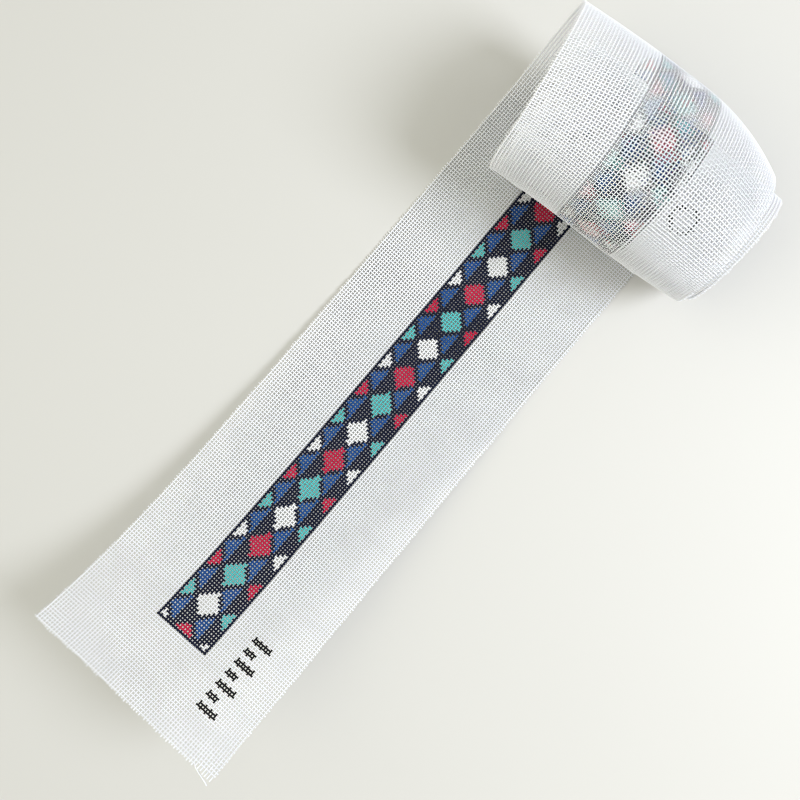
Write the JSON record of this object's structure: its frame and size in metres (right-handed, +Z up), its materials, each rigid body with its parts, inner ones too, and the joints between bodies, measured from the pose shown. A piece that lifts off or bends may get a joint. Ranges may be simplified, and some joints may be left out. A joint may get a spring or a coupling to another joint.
{
  "type": "needlepoint canvas strip, partly wound up",
  "caption": "Long cut strip of white open-mesh needlepoint canvas with a painted stepped band along its middle, one end lifted, the other wound into a loose roll.",
  "frame": {"origin": "underside of the flat stretch of the strip, on the strip's centre line, 46.8 mm in front of the line where the sheet turns up into the roll", "axes": "+Y along the strip towards the roll, +X across the strip to the right, +Z up, away from the surface it lies on"},
  "size_m": [0.1269, 0.348, 0.076],
  "materials": {
    "canvas": "white sized cotton mesh, matt",
    "painted_band": "matt acrylic paint on the threads"
  },
  "bodies": {
    "root": {"canvas_sheet": "canvas"}
  },
  "joints": []
}
